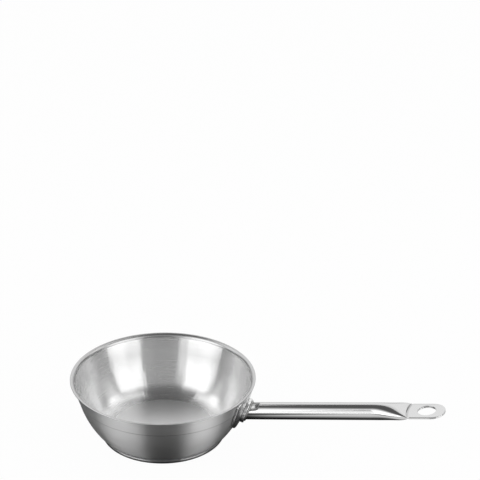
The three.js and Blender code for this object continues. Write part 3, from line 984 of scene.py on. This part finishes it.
def paper_with_painted_shade(stage):
    """Paper that looks white and keeps some of the pan's shadow.

    Camera and transmission rays see it white. So do mirror rays, but for painted shade under the tube, round
    the base and in the two ovals, where they see a dark floor colour instead: the shades from dark to pale
    are multiplied."""
    material = bpy.data.materials.new("white_paper_floor")
    material.use_nodes = True
    tree = material.node_tree
    tree.nodes.clear()
    ray = add_node(tree, "ShaderNodeLightPath", {}, {})
    spot = add_node(tree, "ShaderNodeTexCoord", {}, {}).outputs["Object"]
    beyond_axis = add_node(tree, "ShaderNodeVectorMath", {"operation": "MAXIMUM"}, {0: spot, 1: (0, 0, 0)})
    under_tube = add_node(tree, "ShaderNodeVectorMath", {"operation": "MINIMUM"}, {
        0: beyond_axis.outputs[0], 1: (TUBE_HIGH.x, 0, 0)})
    from_tube = add_node(tree, "ShaderNodeVectorMath", {"operation": "DISTANCE"}, {
        0: spot, 1: under_tube.outputs[0]})
    from_axis = add_node(tree, "ShaderNodeVectorMath", {"operation": "LENGTH"}, {0: spot})
    shades = [(from_tube, TUBE_SHADE), (from_axis, BASE_SHADE)]
    for place, size in PAINTED_SHADE_OVALS:
        oval = add_node(tree, "ShaderNodeMapping", {"vector_type": "TEXTURE"}, {
            "Vector": spot, "Rotation": (0, 0, stage.heading), "Scale": size,
            "Location": tuple(Matrix.Rotation(stage.heading, 3, "Z") @ Vector(place))})
        from_oval = add_node(tree, "ShaderNodeVectorMath", {"operation": "LENGTH"}, {0: oval.outputs[0]})
        shades.append((from_oval, OVAL_SHADE))
    # Share of white that mirror rays see; the rest is painted shade
    mirrored = ray.outputs["Is Glossy Ray"]
    for distance, (dark, pale) in shades:
        lit = add_node(tree, "ShaderNodeMapRange", {"interpolation_type": "SMOOTHSTEP"}, {
            "Value": distance.outputs["Value"], "From Min": dark, "From Max": pale})
        mirrored = add_node(tree, "ShaderNodeMath", {"operation": "MULTIPLY"}, {
            0: mirrored, 1: lit.outputs[0]}).outputs[0]
    seen = add_node(tree, "ShaderNodeMath", {"operation": "ADD"}, {
        0: ray.outputs["Is Camera Ray"], 1: ray.outputs["Is Transmission Ray"]})
    paper = add_node(tree, "ShaderNodeMath", {"operation": "MULTIPLY"}, {0: seen.outputs[0], 1: PAPER_WHITE})
    white = add_node(tree, "ShaderNodeMath", {"operation": "ADD", "use_clamp": True}, {
        0: paper.outputs[0], 1: mirrored})
    # Mirror rays see the floor's matt part in the dark colour: painted shade
    pale_paint, painted_shade = tuple(stage.floor) + (1,), tuple(stage.floor_painted_shade) + (1,)
    paint = add_node(tree, "ShaderNodeMix", {"data_type": "RGBA"}, {
        0: ray.outputs["Is Glossy Ray"], 6: pale_paint, 7: painted_shade})
    matt = add_node(tree, "ShaderNodeBsdfDiffuse", {}, {"Color": paint.outputs[2]})
    glow = add_node(tree, "ShaderNodeEmission", {}, {"Color": (1, 1, 1, 1), "Strength": 1})
    mix = add_node(tree, "ShaderNodeMixShader", {}, {
        0: white.outputs[0], 1: matt.outputs[0], 2: glow.outputs[0]})
    add_node(tree, "ShaderNodeOutputMaterial", {}, {"Surface": mix.outputs[0]})
    return material


def lay_floor(scene, stage):
    """A wide disc (r cos t, r sin t, 0) of white paper, with painted shade near the pan that only mirror
    rays see.
    """
    radii = np.geomspace(FLOOR_REACH, FLOOR_HUB, 24)
    turn = np.linspace(0, 2 * np.pi, 96, endpoint=False)
    across = np.outer(radii, np.cos(turn))
    rows = np.stack([across, np.outer(radii, np.sin(turn)), np.zeros_like(across)], -1)
    points, faces = skin(rows, last_pole=np.zeros((1, 3)))
    mesh = bpy.data.meshes.new("floor")
    mesh.from_pydata(points.tolist(), [], faces)
    mesh.materials.append(paper_with_painted_shade(stage))
    floor = bpy.data.objects.new("floor", mesh)
    scene.collection.objects.link(floor)


# Heights in the room, as the z of a unit vector: the skirting's top, the walls' middle, the zenith's edge
SKIRTING_TOP, WALL_MIDDLE, ZENITH_EDGE = 0.1, 0.5, 0.92


def light_room(scene, stage):
    """A dim room: palest half-way up the walls, darker at the floor and overhead."""
    world = bpy.data.worlds.new("studio_room")
    scene.world = world
    world.use_nodes = True
    tree = world.node_tree
    way = add_node(tree, "ShaderNodeTexCoord", {}, {})
    parts = add_node(tree, "ShaderNodeSeparateXYZ", {}, {0: way.outputs["Generated"]})
    rising = add_node(tree, "ShaderNodeMapRange", {"interpolation_type": "SMOOTHSTEP"}, {
        "Value": parts.outputs["Z"], "From Min": SKIRTING_TOP, "From Max": WALL_MIDDLE,
        "To Min": stage.skirting, "To Max": stage.walls})
    level = add_node(tree, "ShaderNodeMapRange", {"interpolation_type": "SMOOTHSTEP"}, {
        "Value": parts.outputs["Z"], "From Min": WALL_MIDDLE, "From Max": ZENITH_EDGE,
        "To Min": rising.outputs[0], "To Max": stage.zenith})
    background = tree.nodes["Background"]
    background.inputs["Color"].default_value = (1, 1, 1, 1)
    tree.links.new(level.outputs[0], background.inputs["Strength"])


# An upright panel stands this far clear of the floor
PANEL_GAP = 0.01


def hang_lamps(scene, stage, heading):
    """Panels round the pan: brightness, fade, azimuth from the camera, distance, height, width and length.

    Azimuths are in degrees, positive to the camera's right, and lengths in metres. A panel with no height
    stands upright on the floor, and a raised one is aimed at the base. At a share y of the way up, its light
    is (1 - y) to the power of the fade."""
    panels = (
        ("softbox_right", stage.softbox_right, 1.6, 57, 1.5, 0, 1.3, 3),
        ("softbox_left", stage.softbox_left, 1.6, -56.5, 1.5, 0, 1.3, 3),
        ("fill_left", stage.fill, 0.6, -26.5, 1.5, 0, 0.38, 1),
        ("sweep_behind", stage.sweep, 0, 180, 2.4, 0, 4.4, 3.4),
        ("top_right", stage.top, 0, 118, 1.2, 1.75, 0.9, 1.5),
        ("top_left", stage.top, 0, -120, 1.45, 1.7, 1.2, 1.1),
        ("side_right", stage.side, 0, 101, 1.8, 1, 0.8, 0.9),
        ("side_left", stage.side, 0, -101, 1.8, 1, 0.8, 0.9),
    )
    for name, radiance, fade, azimuth, distance, raised, width, tall in panels:
        lamp = bpy.data.lights.new(name, "AREA")
        lamp.shape = "RECTANGLE"
        lamp.size = width
        lamp.size_y = tall
        lamp.energy = np.pi * radiance * width * tall
        lamp.use_nodes = True
        tree = lamp.node_tree
        spot = add_node(tree, "ShaderNodeNewGeometry", {}, {})
        share = add_node(tree, "ShaderNodeSeparateXYZ", {}, {0: spot.outputs["Parametric"]})
        down = add_node(tree, "ShaderNodeMath", {"operation": "SUBTRACT"}, {0: 1, 1: share.outputs["Y"]})
        glow = add_node(tree, "ShaderNodeMath", {"operation": "POWER"}, {0: down.outputs[0], 1: fade})
        tree.links.new(glow.outputs[0], tree.nodes["Emission"].inputs["Strength"])
        way = np.radians(azimuth)
        middle = raised or tall / 2 + PANEL_GAP
        place = heading @ Vector((distance * np.sin(way), -distance * np.cos(way), middle))
        facing = Vector((place.x, place.y, raised)).to_track_quat("Z", "Y")
        holder = bpy.data.objects.new(name, lamp)
        holder.matrix_world = Matrix.Translation(place) @ facing.to_matrix().to_4x4()
        holder.visible_camera = False
        scene.collection.objects.link(holder)


def set_camera(scene, stage, heading):
    """The photograph's viewpoint: turned by the heading, pitched down and rolled."""
    lens = bpy.data.cameras.new("camera")
    lens.lens = stage.lens
    lens.sensor_width = 36
    lens.sensor_fit = "HORIZONTAL"
    lens.clip_end = 50
    tilt = Matrix.Rotation(np.pi / 2 - stage.pitch, 4, "X")
    spin = Matrix.Rotation(stage.roll, 4, "Z")
    camera = bpy.data.objects.new("camera", lens)
    camera.matrix_world = heading @ Matrix.Translation(stage.camera_place) @ tilt @ spin
    scene.collection.objects.link(camera)
    scene.camera = camera


class SAUTE_PT_panel(bpy.types.Panel):
    """Pieces of the pan in the 3D view's sidebar"""

    bl_label = "Saute pan"
    bl_idname = "SAUTE_PT_panel"
    bl_space_type = "VIEW_3D"
    bl_region_type = "UI"
    bl_category = "Saute pan"

    def draw(self, context):
        for operator in OPERATORS:
            self.layout.operator(operator.bl_idname)


GROUPS = (SAUTE_PG_body, SAUTE_PG_base, SAUTE_PG_bracket, SAUTE_PG_handle, SAUTE_PG_finish, SAUTE_PG_stage,
          SAUTE_PG_pan)
OPERATORS = (SAUTE_OT_body, SAUTE_OT_cap, SAUTE_OT_spreader, SAUTE_OT_plate, SAUTE_OT_collar, SAUTE_OT_tube,
             SAUTE_OT_bead, SAUTE_OT_stage)


def register():
    for kind in GROUPS + OPERATORS + (SAUTE_PT_panel,):
        bpy.utils.register_class(kind)
    bpy.types.Scene.saute_pan = PointerProperty(type=SAUTE_PG_pan)


def unregister():
    del bpy.types.Scene.saute_pan
    for kind in reversed(GROUPS + OPERATORS + (SAUTE_PT_panel,)):
        bpy.utils.unregister_class(kind)


def main():
    register()
    bpy.ops.saute_pan.body()
    bpy.ops.saute_pan.cap()
    bpy.ops.saute_pan.spreader()
    bpy.ops.saute_pan.plate()
    bpy.ops.saute_pan.collar()
    bpy.ops.saute_pan.tube()
    bpy.ops.saute_pan.bead()
    bpy.ops.saute_pan.stage()


if __name__ == "__main__":
    main()
